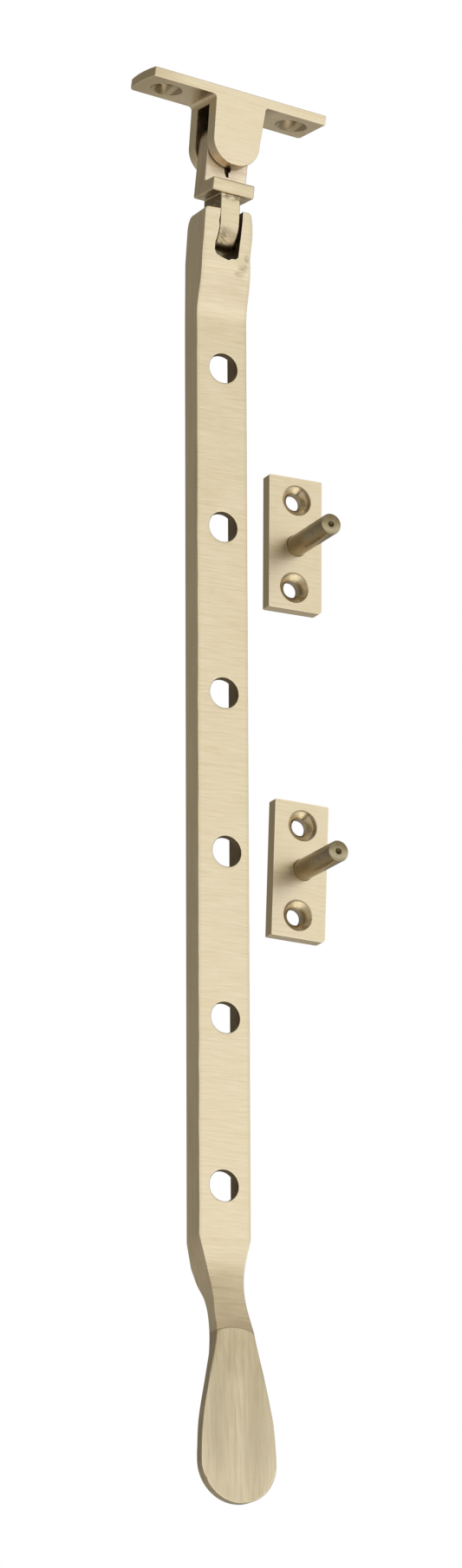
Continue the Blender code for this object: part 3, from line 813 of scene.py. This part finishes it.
def knuckle_brass(name):
    """Filed by hand: a sawn upper tongue, a satin collar, and a wavy lower tongue with coarse marks;
    painted shade under the collar and on the lower tongue's left faces, and painted light on the sawn face.
    """
    look = Finish(name)
    fine, streaks, patches = grain(look, look.side_faces())
    shade = look.total((fine, 0.5), (streaks, 1.4), (patches, 0.9))
    color = look.blend(shade, FILED_SHADE, FILED_LIGHT)

    above = look.step(look.z, -COLLAR_TOP_DROP - EDGE, -COLLAR_TOP_DROP + EDGE)
    sawn = look.times(above, look.facing(1))
    lines = look.noise(SAW_LINES, 3.0, 0.65, look.slant(SAW_SLANT))
    # The sawn face: its own tone, raised as painted light where the ear shades it.
    sawn_and_lit = look.blend(look.total((lines, 2.4), (patches, 1.0)), SAWN_SHADE, SAWN_LIGHT)
    color = look.blend(sawn, color, sawn_and_lit)

    collar_bottom = -COLLAR_TOP_DROP - COLLAR_HEIGHT
    below = look.step(look.z, collar_bottom + EDGE, collar_bottom - EDGE)
    ripple = look.noise(RIPPLES, 2.0, 0.7)
    files = look.noise(FILE_LINES, 3.0, 0.75, look.slant(FILE_SLANT))
    lowest = look.step(look.z, *FILE_MARKS_DOWN)
    left = look.step(look.x, *FILE_MARKS_LEFT, 0.25, 1.0)
    marks = look.times(lowest, left, look.step(files, 0.47, 0.58))
    color = look.stain(color, FILE_MARK_AND_SHADE, marks, FILE_MARKS)
    # Painted shade at the lower tongue's root, just under the collar, broken up by the ripple.
    root = look.times(below, look.step(look.z, *TONGUE_ROOT_SHADE_UP))
    color = look.stain(color, FILE_MARK_AND_SHADE, root, look.step(ripple, 0.42, 0.62), TONGUE_ROOT_SHADE)
    # Painted shade on the lower tongue's faces that look left.
    shaded = look.step(ripple, 0.68, 0.5, 0.35, 0.85)
    color = look.stain(color, FILE_MARK_AND_SHADE, below, look.facing(0), shaded)

    color = look.stain(color, BRASS_RUBBED, look.worn_edge(), KNUCKLE_RUB)
    rough = look.around(SATIN_ROUGHNESS, (fine, 0.1), (streaks, 0.12), (patches, 0.15))
    rough = look.line(marks, 0.12, look.line(sawn, 0.16, rough))
    height = look.total((fine, 0.5), (streaks, 0.8))
    for product in ((lowest, files, 8.0), (sawn, lines, 2.5), (below, ripple, 6.0)):
        height = look.math("ADD", height, look.times(*product))
    return look.finish(color, rough, height, GRAIN_DEPTH, look.line(sawn, -0.12, 1.0))


# Bracket.


def make_bracket(place, material, inside, turned_face):
    half = PLATE_LENGTH / 2
    depth = PLATE_DEPTH / 2
    under = PLATE_RISE - PLATE_THICKNESS
    side = EAR_TOP_WIDTH / 2
    right_centre = (HEAD_OFFSET + side + EAR_FILLET_RIGHT, under - EAR_FILLET_RIGHT)
    left_centre = (HEAD_OFFSET - side - EAR_FILLET_LEFT, under - EAR_FILLET_LEFT)
    outline = [(-half, PLATE_RISE), (half, PLATE_RISE), (half, under)]
    outline += arc(right_centre, EAR_FILLET_RIGHT, 90, 180, FILLET_STEPS)
    for x, z in arc((0.0, 0.0), 1.0, 0, -180, LOBE_STEPS):
        radius = EAR_BOTTOM_RADIUS * (1 + EAR_FULLNESS * max(0.0, -2 * x * z))
        outline.append((HEAD_OFFSET + x * radius, z * radius - UPPER_PIVOT_DROP))
    outline += arc(left_centre, EAR_FILLET_LEFT, 0, 90, FILLET_STEPS) + [(-half, under)]
    body = prism(outline, "Y", -depth, depth)

    def edges_where(test):
        return [edge for edge in body.edges if all(test(vert.co) for vert in edge.verts)]

    corners = edges_where(lambda at: abs(abs(at.x) - half) < NEAR and at.y > 0)
    round_off(body, corners, PLATE_CORNER_RADIUS, 6)
    round_off(body, edges_where(lambda at: at.y > depth - RIM and at.z > -RIM), PLATE_BACK_EDGE, 5)
    ends = edges_where(lambda at: at.x < NEAR - half)
    ends = [edge for edge in ends if abs(edge.verts[0].co.y - edge.verts[1].co.y) > depth]
    bmesh.ops.subdivide_edges(body, edges=ends, cuts=8)
    for vert in body.verts:
        if vert.co.x < NEAR - half:
            vert.co.x -= PLATE_END_BULGE * (1 - (vert.co.y / depth) ** 2)
    bracket = new_object("bracket_casting", body, place, material)

    bottom = -UPPER_PIVOT_DROP - EAR_BOTTOM_RADIUS - OVERCUT
    wide = EAR_TOP_WIDTH
    gap = [(-wide, EAR_GAP_TOP), (wide, EAR_GAP_TOP), (wide, bottom), (-wide, bottom)]
    combine(bracket, prism(gap, "Y", -EAR_GAP / 2, EAR_GAP / 2), place, inside)
    break_edges(bracket, EDGE)

    screws = [(HEAD_OFFSET + way * SCREW_SPACING / 2, 0.0, 0.0) for way in (-1, 1)]
    over = Matrix.Rotation(math.radians(-90), 4, "X")
    underside = place @ Matrix.Translation((0.0, 0.0, under)) @ over
    profile = countersink(COUNTERSINK_DIAMETER, COUNTERSINK_DEPTH, PLATE_THICKNESS)
    profile = [(-along, radius) for along, radius in profile]
    combine(bracket, turned(profile, "Y", screws), underside, turned_face)

    pivot = place @ Matrix.Translation((HEAD_OFFSET, 0.0, -UPPER_PIVOT_DROP))
    bore = PIN_DIAMETER / 2 + PIN_PLAY / 4
    combine(bracket, turned([(-depth + PIN_COVER, bore), (depth + OVERCUT, bore)]), pivot, inside)
    dress(bracket, "root", "mounting_bracket")


def countersink(wide, deep, thickness):
    """Profile of a screw hole from its wide mouth at 0 to the far face, with both rims softened."""
    mouth, bore = wide / 2, SCREW_BORE / 2
    slope = (mouth - bore) / deep
    return [
        (-OVERCUT, mouth + 2 * RIM),
        (-RIM / 4, mouth + 2 * RIM),
        (RIM / 4, mouth + RIM * 0.6),
        (RIM, mouth - RIM * slope),
        (deep, bore),
        (thickness - RIM, bore),
        (thickness - RIM / 3, bore + RIM / 3),
        (thickness, bore + RIM),
        (thickness + OVERCUT, bore + RIM),
    ]


# Pins.


def make_pin(name, axis, blind_end, open_end, place, material, body, node):
    """A plain pin with a slightly domed, filed end."""
    radius = PIN_DIAMETER / 2
    sign = 1 if open_end > blind_end else -1
    profile = [(blind_end, radius - RIM), (blind_end + sign * RIM, radius)]
    profile += [(open_end - sign * RIM, radius), (open_end - sign * RIM / 3, radius - RIM / 3)]
    profile += [(open_end, radius - RIM)]
    item = new_object(name, turned(profile, axis), place, material)
    dress(item, body, node)


# Knuckle.


def make_knuckle(place, spacing, forward, material, sawn):
    back = UPPER_TONGUE_THICKNESS / 2
    collar_bottom = -COLLAR_TOP_DROP - COLLAR_HEIGHT
    half = UPPER_TONGUE_WIDTH / 2
    lobe = arc((0.0, 0.0), half, 0, 180, LOBE_STEPS)
    left = [(x, z) for z, x in smooth(LOWER_TONGUE_LEFT, 3)]
    right = [(x, z) for z, x in smooth(LOWER_TONGUE_RIGHT, 3)]
    outline = lobe + [(-half, collar_bottom)] + left + right[::-1] + [(half, collar_bottom)]
    knuckle = new_object("knuckle_block", prism(outline, "Y", -2 * half, 2 * half), place, material)

    front = back - LOWER_TONGUE_DEPTH
    middle = (front + back) / 2
    side = [(-back, half + OVERCUT), (-back, -COLLAR_TOP_DROP), (-COLLAR_FRONT, -COLLAR_TOP_DROP)]
    side += [(-COLLAR_FRONT, collar_bottom), (front, collar_bottom)]
    for y, z in arc((0.0, 0.0), 1.0, 180, 270, 20):
        height = LOWER_TONGUE_END_START + z * LOWER_TONGUE_END_HEIGHT
        side.append((middle + y * LOWER_TONGUE_DEPTH / 2, height))
    heel = (back - LOWER_TONGUE_HEEL, LOWER_TONGUE_HEEL_LEVEL + LOWER_TONGUE_HEEL)
    side += arc(heel, LOWER_TONGUE_HEEL, 280, 360, FILLET_STEPS)
    side += [(back, half + OVERCUT)]
    combine(knuckle, prism(side, "X", -2 * half, 2 * half), place, material, "INTERSECT")
    break_edges(knuckle, KNUCKLE_EDGE, clamp=False)

    gouge = prism(SAW_GOUGE[::-1], "Y", -back - OVERCUT, -back + SAW_GOUGE_DEPTH)
    combine(knuckle, gouge, place, sawn)
    bore = PIN_DIAMETER / 2 + PIN_PLAY
    through = [(-half - OVERCUT, bore), (half + OVERCUT, bore)]
    combine(knuckle, turned(through), place, sawn)
    combine(knuckle, turned(through, "X", ((0.0, -forward, -spacing),)), place, sawn)
    dress(knuckle, "knuckle", "knuckle")


# Arm.


def arm_front_line():
    """(height, y) down the arm's front, from the top of the boss to the spoon's tip."""
    bar_front = BAR_BACK - BAR_THICKNESS
    line = [(ARM_TOP, bar_front - BOSS_TOP_RISE), (-BOSS_LEVEL_DROP, bar_front - BOSS_RISE)]
    steps = 14
    for i in range(1, steps + 1):
        t = i / steps
        drop = BOSS_LEVEL_DROP + t * (BOSS_FOOT_DROP - BOSS_LEVEL_DROP)
        line.append((-drop, bar_front - BOSS_RISE * (1 + math.cos(math.pi * t)) / 2))
    line += [(height, bar_front - forward) for height, forward in smooth(CRANK_FRONT, 6)[:-1]]
    line += [(height, bar_front - forward) for height, forward in smooth(SPOON_FRONT, 6)]
    return line


def arm_back_line():
    """(height, y) down the arm's back."""
    centre = (BAR_BACK - BOSS_BACK_RELIEF - BOSS_BACK_RADIUS, ARM_TOP - BOSS_BACK_RADIUS)
    line = [(z, y) for y, z in arc(centre, BOSS_BACK_RADIUS, 90, 0, 24)]
    line.append((-BOSS_FOOT_DROP, BAR_BACK))
    line += [(height, BAR_BACK - forward) for height, forward in smooth(CRANK_BACK, 6)[:-1]]
    line += [(height, BAR_BACK - forward) for height, forward in smooth(SPOON_BACK, 4)]
    return line


def spread(start, end, steps):
    """Evenly spaced points from start to end."""
    points = []
    for i in range(steps + 1):
        t = i / steps
        points.append((start[0] + (end[0] - start[0]) * t, start[1] + (end[1] - start[1]) * t))
    return points


def wander(side, height, pitch):
    """A smooth random number, from about -1 to 1, along one side of the arm."""
    return 2 * noise.noise(Vector((side * 3.7, height / pitch, 0.5)))


def arm_half_outline():
    """(x, z) points down the right of the arm's front view, from its flat top to beside the tip."""
    top = BOSS_TOP_WIDTH / 2
    corner = (top - CHEEK_CORNER_RADIUS, ARM_TOP - CHEEK_CORNER_RADIUS)
    points = arc(corner, CHEEK_CORNER_RADIUS, 90, 0, 5)
    level = (BAR_WIDTH / 2, -BOSS_LEVEL_DROP)
    points += spread(points[-1], level, 12)[1:]
    points += spread(level, (BAR_WIDTH / 2, -BOSS_FOOT_DROP), 16)[1:]
    points += spread((BAR_WIDTH / 2, -BOSS_FOOT_DROP), (BAR_WIDTH / 2, BAR_END), 110)[1:-1]
    neck = smooth(NECK_HALF_WIDTHS, 12)
    for lip in (CREASE + CREASE_HALF, CREASE - CREASE_HALF):
        neck.append((lip, read(neck, lip)))
    points += [(value, height) for height, value in sorted(neck, reverse=True)]
    centre = (0.0, SPOON_TIP + SPOON_RADIUS)
    first = math.degrees(math.acos(NECK_HALF_WIDTHS[-1][1] / SPOON_RADIUS)) - 4
    points += arc(centre, SPOON_RADIUS, first, -88, 26)
    return points


def make_arm(place, slot_place, pin_place, material, shaded_cut):
    front_line, back_line = arm_front_line(), arm_back_line()
    right = arm_half_outline()
    count = len(right)
    loop = right + [(-x, z) for x, z in reversed(right)]
    normals = outline_normals(loop)[:count]
    half_widths = [(z, x) for x, z in right]
    columns = 24

    def front_at(x, z):
        fade = min(1.0, (CREASE - z) / SPOON_WAVE_FADE_TOP, (z - SPOON_TIP) / SPOON_WAVE_FADE_TIP)
        wave = SPOON_WAVE * max(0.0, fade) * math.cos(2 * math.pi * x / SPOON_WAVE_PITCH)
        return read(front_line, z) - wave

    def back_edge(z):
        growth = (BACK_EDGE_GROWS_FROM - z) / BACK_EDGE_GROWS_OVER
        return BACK_EDGE + BACK_EDGE_GROWTH * max(0.0, min(1.0, growth))

    def swell(way, z):
        return read(RIGHT_SWELL, z) if way > 0 else 0.0

    def lag(z):
        """The back of the shoulders narrows lower down than the front."""
        near = max(0.0, 1.0 - abs(z - SHOULDER_LAG_MIDDLE) / SHOULDER_LAG_REACH)
        return read(half_widths, z + SHOULDER_LAG * near) - read(half_widths, z)

    def bow(x, z):
        """The crease bends upwards in the middle."""
        near = max(0.0, 1.0 - abs(z - CREASE) / CREASE_REACH)
        across = x / read(half_widths, z)
        return CREASE_BOW * near * near * max(0.0, 1.0 - across * across)

    def front_edge(way, z):
        """How much of the front edge is broken: it wanders, and the neck and spoon have a few nicks."""
        size = EDGE + EDGE_WANDER * wander(way, z, EDGE_WANDER_PITCH)
        if way < 0 and (NICKED_NECK[0] < z < NICKED_NECK[1] or z < NICKED_TIP):
            size += NICK_DEPTH * max(0.0, wander(way, z, NICK_PITCH) - NICK_START)
        return size

    body = bmesh.new()
    rims = {1: [], -1: []}
    for (x, z), (nx, nz) in zip(right, normals):
        for way in (1, -1):
            rim = []
            edge = front_edge(way, z)
            for inward, backward in reversed(quarter()):
                inset = edge * inward
                px, pz = x + swell(way, z) - nx * inset, z - nz * inset
                rim.append((way * px, front_at(px, pz) + edge * backward, pz))
            radius = back_edge(z)
            for inward, forward in quarter():
                inset = radius * inward
                px, pz = x + lag(z) + swell(way, z) - nx * inset, z - nz * inset
                rim.append((way * px, read(back_line, pz) - radius * forward, pz))
            rims[way].append([body.verts.new(point) for point in rim])
    fronts, backs = [], []
    for left, right_rim in zip(rims[-1], rims[1]):
        start, end = left[0].co.copy(), right_rim[0].co.copy()
        line = [left[0]]
        for k in range(1, columns):
            x = start.x + (end.x - start.x) * k / columns
            line.append(body.verts.new((x, front_at(x, start.z), start.z + bow(x, start.z))))
        fronts.append(line + [right_rim[0]])
        backs.append([left[-1], right_rim[-1]])
    for rows in (fronts, backs, rims[1], rims[-1]):
        bridge(body, rows)
    for row in (0, count - 1):
        left, right_rim = rims[-1][row], rims[1][row]
        body.faces.new([*fronts[row], right_rim[1], left[1]])
        for k in range(1, len(left) - 1):
            body.faces.new((left[k], right_rim[k], right_rim[k + 1], left[k + 1]))
    for vert in body.verts:
        up = (vert.co.z - ARM_TOP + BOSS_TOP_SLOPE_DEPTH) / BOSS_TOP_SLOPE_DEPTH
        if up > 0:
            vert.co.z += BOSS_TOP_SLOPE * up * max(0.0, vert.co.y) / BAR_BACK
    arm = new_object("arm_casting", body, place, material)

    half = BAR_WIDTH / 2 - WALL
    outline = arc((0.0, TROUGH_TOP - half), half, 180, 0, 24)
    outline += arc((0.0, TROUGH_END + half), half, 0, -180, 24)
    bar_front = BAR_BACK - BAR_THICKNESS
    floor = bar_front + WALL
    levels = [(-TROUGH_FILLET * inward, floor + TROUGH_FILLET * upward) for upward, inward in quarter(5)]
    levels += [(radius, along) for along, radius in flare(BAR_BACK, 0.0, 1)]
    combine(arm, layered(outline, levels), place, shaded_cut)

    radius = HOLE_DIAMETER / 2
    profile = flare(bar_front, radius, -1) + [(floor + OVERCUT, radius)]
    centres = []
    height = -FIRST_HOLE_DROP
    for pitch, shift in zip(HOLE_PITCHES, HOLE_SHIFTS):
        height -= pitch
        centres.append((shift, 0.0, height))
    combine(arm, turned(profile, "Y", centres), place, shaded_cut)
    combine(arm, prism(SLOT_OUTLINE, "Y", -BAR_WIDTH, BAR_WIDTH), slot_place, shaded_cut)

    bore = PIN_DIAMETER / 2 + PIN_PLAY / 4
    blind = -BOSS_TOP_WIDTH / 2 + PIN_COVER
    combine(arm, turned([(blind, bore), (BAR_WIDTH, bore)], "X"), pin_place, shaded_cut)
    dress(arm, "arm", "stay_arm")


# Peg plates and pegs.


def make_peg_plate(which, place, material, turned_face):
    side = PEG_PLATE_WIDTH / 2
    end = PEG_PLATE_HEIGHT / 2
    back = PEG_PLATE_THICKNESS
    body = prism([(-side, -end), (side, -end), (side, end), (-side, end)], "Y", 0.0, back)
    for worn, radius in ((True, PEG_PLATE_WORN_CORNER), (False, PEG_PLATE_CORNER)):
        corners = []
        for edge in body.edges:
            near, far = (vert.co for vert in edge.verts)
            through = abs(near.y - far.y) > back / 2
            if through and abs(near.x) > side - RIM and worn == (near.x > 0 > near.z):
                corners.append(edge)
        round_off(body, corners, radius, 5)
    backs = [edge for edge in body.edges if all(vert.co.y > back - RIM for vert in edge.verts)]
    round_off(body, backs, PEG_PLATE_BACK_EDGE, 4)
    plate = new_object("peg_plate_" + which + "_brushed", body, place, material)
    break_edges(plate, EDGE)
    centres = [(way * PEG_SCREW_SHIFT, 0.0, way * PEG_SCREW_SPACING / 2) for way in (-1, 1)]
    profile = countersink(PEG_COUNTERSINK_DIAMETER, PEG_COUNTERSINK_DEPTH, back)
    combine(plate, turned(profile, "Y", centres), place, turned_face)
    rivet = PEG_RIVET_DIAMETER / 2
    seat = [(back / 2, rivet / 2), (back / 2, rivet), (back + OVERCUT, rivet)]
    combine(plate, turned(seat, "Y", (PEG_SHIFTS[which],)), place, material)
    dress(plate, "root", "peg_plate_" + which)


def make_peg(which, place, material, inside):
    radius = PEG_DIAMETER / 2
    root = RIM * 1.2
    tip = -PEG_LENGTH
    profile = [(tip + PEG_DIMPLE_DEPTH, 0.00005), (tip, PEG_DIMPLE_DIAMETER / 2), (tip, radius - RIM)]
    profile += [(tip + RIM / 3, radius - RIM / 3), (tip + RIM, radius)]
    profile += [(-root * forward - RIM / 8, radius + root * outward) for outward, forward in quarter()]
    item = new_object("peg_" + which + "_turned", turned(profile), place, material)
    item.data.materials.append(inside)
    for face in item.data.polygons:
        if face.center.y > tip and math.hypot(face.center.x, face.center.z) < PEG_DIMPLE_DIAMETER / 2:
            face.material_index = 1
    rivet = PEG_RIVET_DIAMETER / 2 - RIM / 4
    back = PEG_PLATE_THICKNESS
    head = [(back / 2 + RIM / 2, rivet), (back - RIM, rivet)]
    head += [(back - RIM / 3, rivet - RIM / 3), (back, rivet - RIM)]
    tail = new_object("peg_" + which + "_rivet", turned(head), place, material)
    dress(tail, "root", "peg_" + which)
    dress(item, "root", "peg_" + which)


# Studio.


def make_camera():
    azimuth, elevation, roll = map(math.radians, (CAMERA_AZIMUTH, CAMERA_ELEVATION, CAMERA_ROLL))
    flat = math.cos(elevation)
    back = Vector((math.sin(azimuth) * flat, -math.cos(azimuth) * flat, math.sin(elevation)))
    level = Vector((math.cos(azimuth), math.sin(azimuth), 0.0))
    upright = back.cross(level)
    right = level * math.cos(roll) + upright * math.sin(roll)
    up = upright * math.cos(roll) - level * math.sin(roll)
    data = bpy.data.cameras.new("camera")
    data.lens = CAMERA_LENS
    data.sensor_width = CAMERA_SENSOR
    camera = bpy.data.objects.new("camera", data)
    bpy.context.scene.collection.objects.link(camera)
    camera.matrix_world = axes(right, up, back, Vector(CAMERA_AIM) + back * CAMERA_DISTANCE)
    bpy.context.scene.camera = camera


def make_world():
    """A white studio: a tall, bright diffuser towards the front right, dimmer walls all round."""
    world = bpy.data.worlds.new("studio")
    world.use_nodes = True
    bpy.context.scene.world = world
    world.node_tree.nodes.clear()
    studio = Nodes(world.node_tree)
    direction = studio.node("TexCoord").outputs["Generated"]
    height = studio.node("MapRange", studio.split(direction)[2], -1.0).outputs[0]

    def sky(stops):
        """Colour by height: each stop is an elevation in degrees and a colour."""
        ramp = studio.node("ValToRGB", height)
        bands = ramp.color_ramp.elements
        while len(bands) < len(stops):
            bands.new(1.0)
        for band, (elevation, color) in zip(bands, stops):
            band.position = (math.sin(math.radians(elevation)) + 1) / 2
            band.color = (*color, 1.0)
        return ramp.outputs[0]

    heading = studio.vector("NORMALIZE", studio.vector("MULTIPLY", direction, (1.0, 1.0, 0.0)))
    toward = studio.vector("DOT_PRODUCT", heading, Vector(DIFFUSER_TOWARD).normalized())
    reach, full = (math.cos(math.radians(angle)) for angle in (DIFFUSER_REACH, DIFFUSER_FULL))
    lit = studio.blend(studio.step(toward, reach, full), sky(WALLS), sky(DIFFUSER))
    soft = studio.node("Background", lit, STUDIO_STRENGTH)
    bright = studio.node("Background", (1.0, 1.0, 1.0, 1.0))
    seen = studio.node("LightPath").outputs["Is Camera Ray"]
    mix = studio.node("MixShader", seen, soft.outputs[0], bright.outputs[0])
    studio.node("OutputWorld", mix.outputs[0])


def make_floor():
    finish = Finish("floor")
    finish.fill(finish.shader, {"Base Color": FLOOR_COLOR, "Roughness": FLOOR_ROUGHNESS})
    half = FLOOR_SIZE / 2
    corners = [(-half, -half), (half, -half), (half, half), (-half, half)]
    body = prism(corners, "Z", FLOOR_LEVEL - FLOOR_THICKNESS, FLOOR_LEVEL)
    floor = new_object("floor", body, Matrix.Identity(4), finish.material)
    floor.visible_glossy = False


# Assembly.


def axes(x, y, z, origin):
    """A 4x4 place from three axes and an origin."""
    place = Matrix((x, y, z)).transposed().to_4x4()
    place.translation = origin
    return place


def build():
    joints = {joint["name"]: joint for joint in frame["joints"]}
    mount = next(m for m in frame["record"]["mounts"] if m["name"] == "bracket_face")
    across = -Vector(joints["swing"]["axis"])
    up = Vector(mount["axis"])
    bracket_place = axes(across.cross(up), across, up, Vector(mount["pos_m"]))
    upper = Vector(joints["swing"]["pos_m"])
    lower = Vector(joints["lift"]["pos_m"])
    side = -Vector(joints["lift"]["axis"])
    knuckle_place = axes(side, across, side.cross(across), upper)
    lower_place = axes(side, across, side.cross(across), lower)
    drop = knuckle_place.inverted() @ lower
    lean = math.atan2(knuckle_place[0][2], knuckle_place[2][2])
    arm_place = Matrix.Translation(lower)
    slot_place = arm_place @ Matrix.Rotation(lean, 4, "Y")
    upper_place = bracket_place @ Matrix.Translation(bracket_place.inverted() @ upper)

    satin = satin_brass("satin_bracket", BRACKET_SIDE_DARKENING, -PLATE_LENGTH / 2)
    plate_satin = satin_brass("satin_plate", PEG_PLATE_SIDE_DARKENING)
    arm_satin = arm_brass("satin_arm")
    shaded_cut = shaded_cut_brass("shaded_cut_brass")
    filed = knuckle_brass("filed_brass")
    pegs = turned_finish("turned_peg", PEG_SHADE, PEG_LIGHT)
    centre, rim = (SCREW_SPACING / 2, 0.0), COUNTERSINK_DIAMETER / 2
    sink = turned_finish("turned_bracket_sinks", SINK_SHADE, SINK_LIGHT, centre, rim)
    centre, rim = (0.0, PEG_SCREW_SPACING / 2), PEG_COUNTERSINK_DIAMETER / 2
    plate_sink = turned_finish("turned_plate_sinks", TURNED_SHADE, TURNED_LIGHT, centre, rim)

    make_bracket(bracket_place, satin, shaded_cut, sink)
    depth = PLATE_DEPTH / 2
    make_pin("upper_pin", "Y", PIN_COVER + RIM - depth, depth, upper_place, pegs, "root", "upper_pivot_pin")
    make_knuckle(knuckle_place, -drop.z, -drop.y, filed, shaded_cut)
    make_arm(arm_place, slot_place, lower_place, arm_satin, shaded_cut)
    end = BOSS_TOP_WIDTH / 2
    flush = end + (BAR_WIDTH / 2 - end) * ARM_TOP / (ARM_TOP + BOSS_LEVEL_DROP) + read(RIGHT_SWELL, 0.0)
    make_pin("lower_pin", "X", PIN_COVER + RIM - end, flush, lower_place, pegs, "arm", "lower_pivot_pin")
    for which, tilt in PEG_TILTS.items():
        low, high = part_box("peg_plate_" + which)
        centre = Vector(((low.x + high.x) / 2, low.y, (low.z + high.z) / 2))
        place = Matrix.Translation(centre) @ Matrix.Rotation(math.radians(tilt), 4, "Y")
        make_peg_plate(which, place, plate_satin, plate_sink)
        make_peg(which, place @ Matrix.Translation(PEG_SHIFTS[which]), pegs, shaded_cut)

    make_camera()
    make_world()
    make_floor()
    bpy.context.scene.view_settings.view_transform = "Standard"


build()
